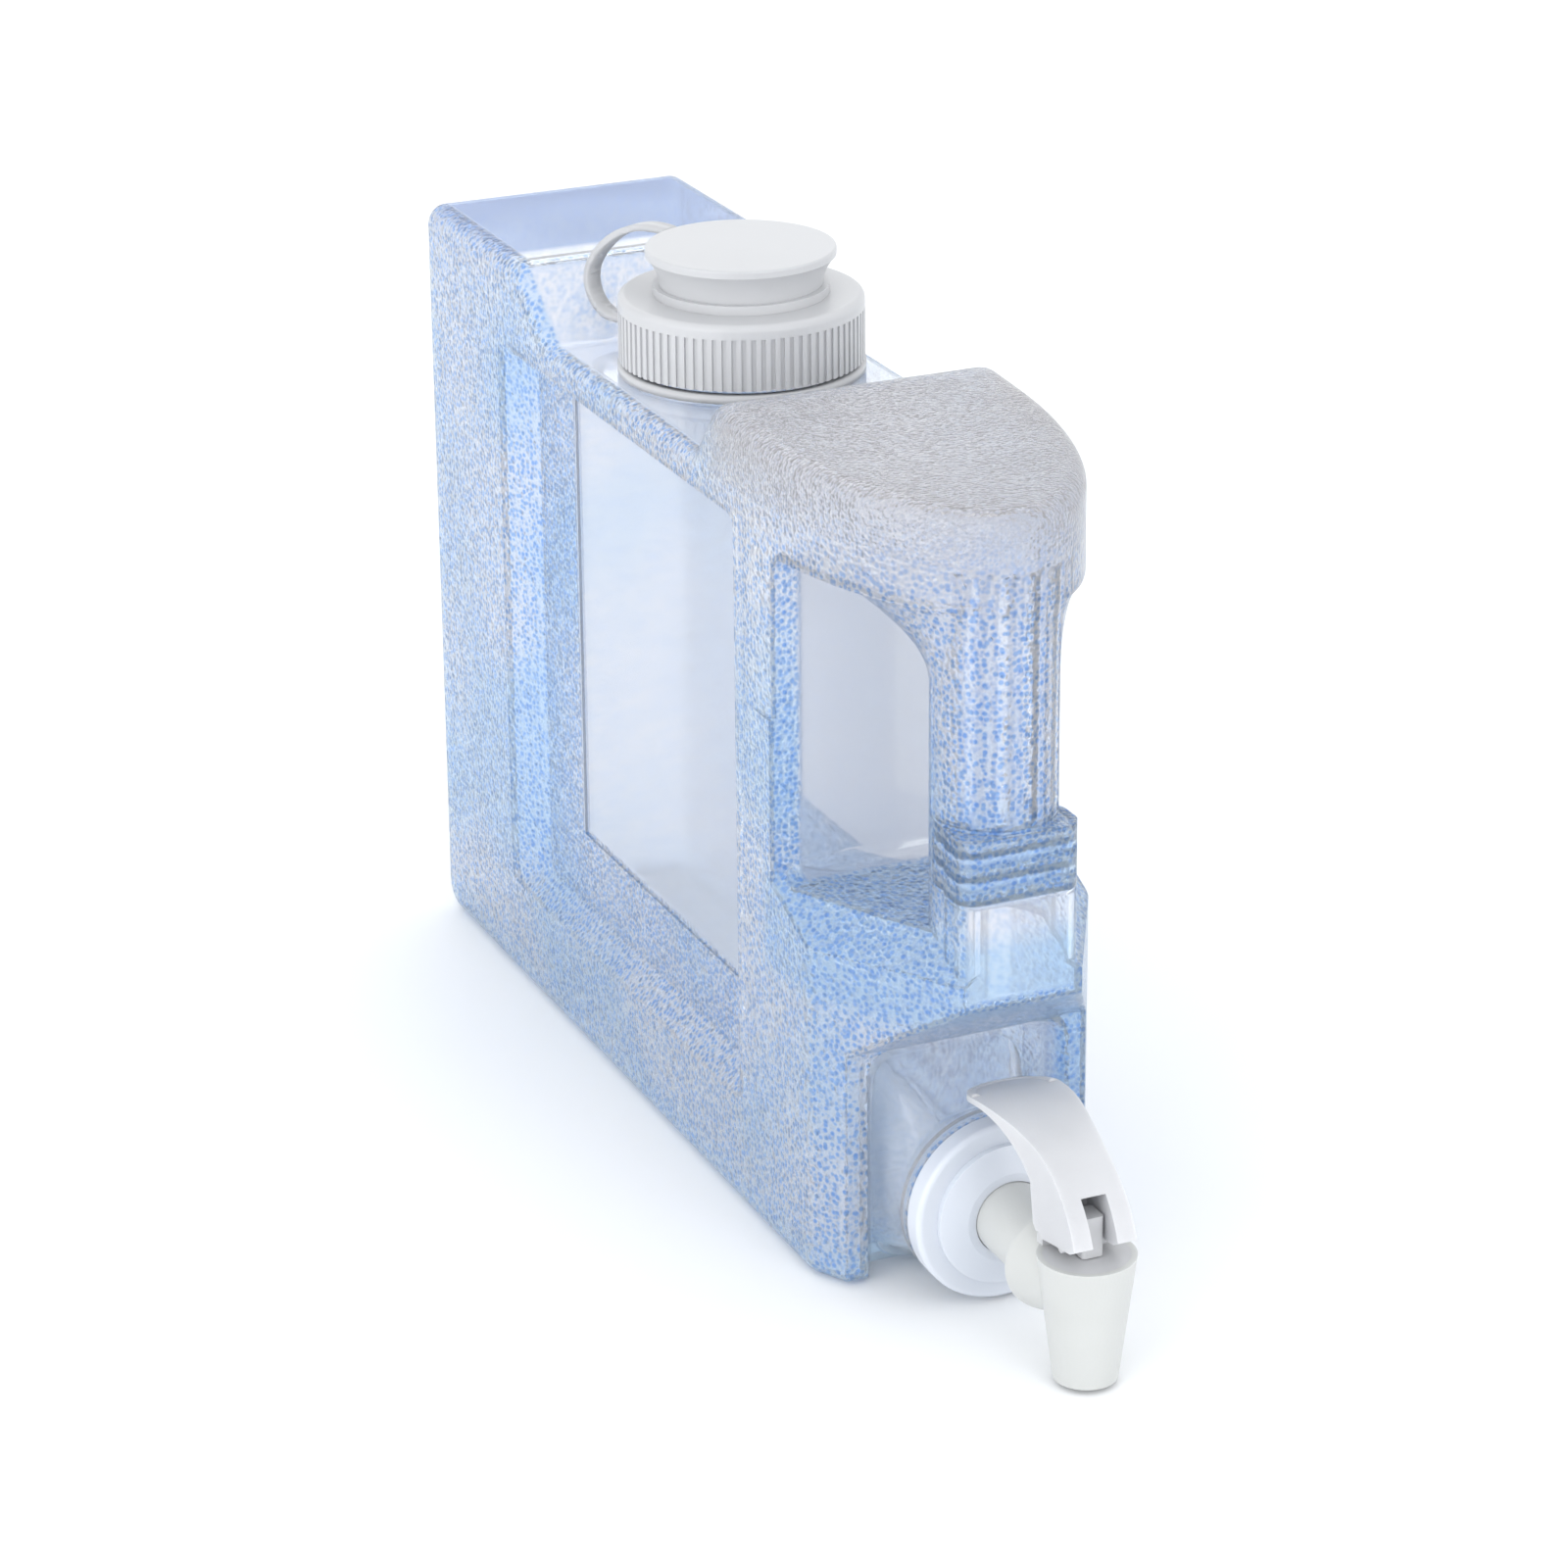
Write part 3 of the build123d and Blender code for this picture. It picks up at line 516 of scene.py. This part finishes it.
def clear_blue_plastic():
    """Blue-tinted clear plastic with pebble grain outside the smooth zones."""
    material, tree, shader, point = start_material("clear_blue_plastic")
    smooth = highest(tree, [zone_mask(tree, point, zone) for zone in SMOOTH_ZONES.values()])
    grained = math_node(tree, "SUBTRACT", 1.0, smooth, clamp=True)
    shoulder = zone_mask(tree, point, SHOULDER_TOP, SHOULDER_EDGE)
    on_shoulder = math_node(tree, "GREATER_THAN", shoulder, SHOULDER_SWITCH)
    grain_scale = scaled(tree, on_shoulder, LEATHER_PER_METRE - PEBBLES_PER_METRE, PEBBLES_PER_METRE)
    grain = use_group(tree, grain_group, Point=point, Scale=grain_scale)
    haze = use_group(tree, haze_group, Point=point, Scale=HAZE_PER_METRE)
    axes = tree.nodes.new("ShaderNodeSeparateXYZ")
    tree.links.new(point, axes.inputs[0])
    normal = bottle_relief(tree, point, axes, grained, grain, haze)
    tint = bottle_tint(tree, point, axes, grained, shoulder, grain, haze)
    roughness = scaled(tree, grained, GRAIN_ROUGHNESS, SMOOTH_ROUGHNESS)
    tree.links.new(normal, shader.inputs["Normal"])
    tree.links.new(tint, shader.inputs["Base Color"])
    tree.links.new(roughness, shader.inputs["Roughness"])
    shader.inputs["Transmission Weight"].default_value = CLEAR_SHARE
    shader.inputs["IOR"].default_value = PLASTIC_IOR
    return material


bottle_plastic = clear_blue_plastic()
print("nodes in the bottle's material:", len(bottle_plastic.node_tree.nodes))

# %% [markdown]
# The cap and the tap are injection moulded. White plastic of this kind is satin rather than
# glossy, lets a little light in, and shows a faint unevenness where it shrank in the mould. One
# recipe with different values serves the cap, the nut, the spout, the milky lever and the seals.

# %% White, milky and rubber finishes
HAZE_ROUGHNESS = 0.18
GLOW_DEPTH = 2.5 * MM
EVEN_GLOW = (1.0, 1.0, 1.0)
MOULDED = {
    "cap_white_plastic": {
        "low": (0.48, 0.485, 0.50, 1), "high": (0.55, 0.555, 0.57, 1),
        "roughness": 0.26, "glow": 0.2, "grain_mm": 0.03, "haze_per_metre": 40.0,
    },
    "tap_white_plastic": {
        "low": (0.58, 0.62, 0.69, 1), "high": (0.67, 0.70, 0.76, 1),
        "roughness": 0.24, "glow": 0.25, "grain_mm": 0.03, "haze_per_metre": 45.0,
    },
    "spout_white_plastic": {
        "low": (0.50, 0.51, 0.50, 1), "high": (0.57, 0.58, 0.57, 1),
        "roughness": 0.28, "glow": 0.25, "grain_mm": 0.04, "haze_per_metre": 50.0,
    },
    "milky_plastic": {
        "low": (0.50, 0.505, 0.525, 1), "high": (0.60, 0.605, 0.625, 1),
        "roughness": 0.36, "glow": 0.45, "grain_mm": 0.06, "haze_per_metre": 60.0,
    },
    "seal_rubber": {
        "low": (0.70, 0.70, 0.67, 1), "high": (0.78, 0.78, 0.75, 1),
        "roughness": 0.5, "glow": 0.2, "grain_mm": 0.04, "haze_per_metre": 80.0,
    },
}


def moulded_plastic(name, low, high, roughness, glow, grain_mm, haze_per_metre):
    """White or milky moulded plastic with haze and fine grain."""
    material, tree, shader, point = start_material(name)
    haze = use_group(tree, haze_group, Point=point, Scale=haze_per_metre)
    colour = ramp(tree, haze.outputs["Haze"], low, high)
    uneven = scaled(tree, haze.outputs["Haze"], HAZE_ROUGHNESS, roughness)
    tree.links.new(colour, shader.inputs["Base Color"])
    tree.links.new(uneven, shader.inputs["Roughness"])
    tree.links.new(relief(tree, [(haze.outputs["Fine"], grain_mm)]), shader.inputs["Normal"])
    shader.inputs["Subsurface Weight"].default_value = glow
    shader.inputs["Subsurface Radius"].default_value = EVEN_GLOW
    shader.inputs["Subsurface Scale"].default_value = GLOW_DEPTH
    return material


moulded = {name: moulded_plastic(name, **values) for name, values in MOULDED.items()}
cap_white = moulded["cap_white_plastic"]
tap_white = moulded["tap_white_plastic"]
spout_white = moulded["spout_white_plastic"]
milky = moulded["milky_plastic"]
rubber = moulded["seal_rubber"]
print("moulded finishes:", len(moulded))

# %% [markdown]
# The solids keep their shape and only change their material. Clearing the slots first leaves each
# solid with one slot, which every face uses.

# %% Finishes on the solids
FINISHES = {
    "bottle": bottle_plastic,
    "screw_collar": cap_white,
    "stopper": cap_white,
    "tether": cap_white,
    "coupling_nut": tap_white,
    "tap_body": spout_white,
    "gland_cap": cap_white,
    "valve_stem": cap_white,
    "lever": milky,
    "collar_liner": rubber,
    "tap_gasket": rubber,
    "seat_cup": rubber,
}
for name, finish in FINISHES.items():
    solid = nodes[name]
    solid.data.materials.clear()
    solid.data.materials.append(finish)
print("solids with a finish:", len(FINISHES))

# %% [markdown]
# Two soft pieces join something fixed to something that moves: the stopper's tether, and the
# silicone cup between the spout's seat and the stem. Each gets a welded copy of its solid, cut
# into thin slices between its fixed end and its moving end, and the solid itself is hidden.

# %% Sliced copies of the soft pieces
SLICE_STEP = 1.0 * MM
WELD = 1e-6


def add_piece(name, shape, finish):
    """Turns a bmesh into an object with a finish and a material slot."""
    mesh = bpy.data.meshes.new(name)
    shape.to_mesh(mesh)
    shape.free()
    mesh.materials.append(finish)
    for face in mesh.polygons:
        face.use_smooth = True
    piece = bpy.data.objects.new(name, mesh)
    bpy.context.scene.collection.objects.link(piece)
    return piece


def stretching_copy(node, finish, fixed_height, moving_height):
    """Welded copy of a solid, sliced at even steps along Z between two heights."""
    shape = bmesh.new()
    shape.from_mesh(nodes[node].data)
    bmesh.ops.remove_doubles(shape, verts=shape.verts, dist=WELD)
    low, high = sorted((fixed_height, moving_height))
    slices = round((high - low) / SLICE_STEP)
    for index in range(1, slices):
        everything = shape.verts[:] + shape.edges[:] + shape.faces[:]
        height = low + index * (high - low) / slices
        bmesh.ops.bisect_plane(shape, geom=everything, plane_co=(0, 0, height), plane_no=(0, 0, 1))
    bmesh.ops.recalc_face_normals(shape, faces=shape.faces)
    print(node, "slices:", slices, "faces:", len(shape.faces))
    piece = add_piece(f"soft_{node}", shape, finish)
    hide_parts(node)
    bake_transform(piece)


tether_low, tether_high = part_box("tether")
cup_low, cup_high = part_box("seat_cup")
RING_HEIGHT = 3 * MM
STRAP_HOLD = 2 * MM
strap_root = tether_low.z + RING_HEIGHT
strap_end = tether_high.z - STRAP_HOLD
stretching_copy("tether", cap_white, strap_root, strap_end)
stretching_copy("seat_cup", rubber, cup_high.z, cup_low.z)

# %% [markdown]
# Under the collar the neck has a coarse thread, formed by the mould with the bottle. A small
# four-sided profile with a flat crest is spun round the neck while it climbs, which gives a helix
# with clean ends.

# %% Filler neck thread
NECK_RADIUS = 29.6 * MM
THREAD_HEIGHT = 1.1 * MM
THREAD_WIDTH = 2.2 * MM
THREAD_PITCH = 6.0 * MM
THREAD_TURNS = 1.75
THREAD_STEPS = 112
THREAD_START = 212.5 * MM
THREAD_ROOT = 0.3 * MM
CREST_START = 0.3
CREST_END = 0.7


def neck_thread():
    """Helical thread of the filler neck."""
    shape = bmesh.new()
    inner = NECK_RADIUS - THREAD_ROOT
    outer = NECK_RADIUS + THREAD_HEIGHT
    profile = [
        (inner, THREAD_START),
        (outer, THREAD_START + THREAD_WIDTH * CREST_START),
        (outer, THREAD_START + THREAD_WIDTH * CREST_END),
        (inner, THREAD_START + THREAD_WIDTH),
    ]
    corners = [shape.verts.new((radius, NECK_Y, height)) for radius, height in profile]
    start = shape.faces.new(corners)
    whole_turn = THREAD_TURNS * 2 * math.pi
    climb = (0, 0, THREAD_TURNS * THREAD_PITCH / THREAD_STEPS)
    bmesh.ops.spin(
        shape, geom=[start], cent=(0, NECK_Y, 0), axis=(0, 0, 1), angle=whole_turn,
        steps=THREAD_STEPS, dvec=climb, use_duplicate=False,
    )
    bmesh.ops.remove_doubles(shape, verts=shape.verts, dist=WELD)
    bmesh.ops.recalc_face_normals(shape, faces=shape.faces)
    print("thread faces:", len(shape.faces))
    thread = add_piece("filler_neck_thread", shape, bottle_plastic)
    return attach(thread, "container")


neck_thread()

# %% [markdown]
# The lever's thumb end has a rounded lip round its rim, which stiffens the thin paddle. A small
# round section is spun along the rim's half circle while that lies flat. Then the half circle is
# tilted, because the thumb end hangs down towards the bottle.

# %% Lip of the lever
LIP_RADIUS = 1.5 * MM
LIP_SIDES = 12
LIP_STEPS = 28
LIP_TILT = math.radians(14.8)
RIM_ENDS_HEIGHT = 62.9 * MM


def lever_lip():
    """Rounded lip round the rear rim of the lever."""
    lever_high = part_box("lever")[1]
    rear_half = lever_high.x
    path_radius = rear_half - LIP_RADIUS
    shape = bmesh.new()
    upright = Matrix.Rotation(math.pi / 2, 3, "X")
    tilted = Matrix.Rotation(-LIP_TILT, 3, "X")
    circle = bmesh.ops.create_circle(shape, cap_ends=True, segments=LIP_SIDES, radius=LIP_RADIUS)
    section = circle["verts"]
    bmesh.ops.rotate(shape, verts=section, cent=(0, 0, 0), matrix=upright)
    bmesh.ops.translate(shape, verts=section, vec=(path_radius, 0, 0))
    bmesh.ops.spin(
        shape, geom=list(shape.faces), cent=(0, 0, 0), axis=(0, 0, 1), angle=math.pi,
        steps=LIP_STEPS, use_duplicate=False,
    )
    bmesh.ops.remove_doubles(shape, verts=shape.verts, dist=WELD)
    bmesh.ops.rotate(shape, verts=shape.verts, cent=(0, 0, 0), matrix=tilted)
    bmesh.ops.translate(shape, verts=shape.verts, vec=(0, lever_high.y - rear_half, RIM_ENDS_HEIGHT))
    bmesh.ops.recalc_face_normals(shape, faces=shape.faces)
    print("lip faces:", len(shape.faces))
    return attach(add_piece("lever_lip", shape, milky), "lever")


lever_lip()
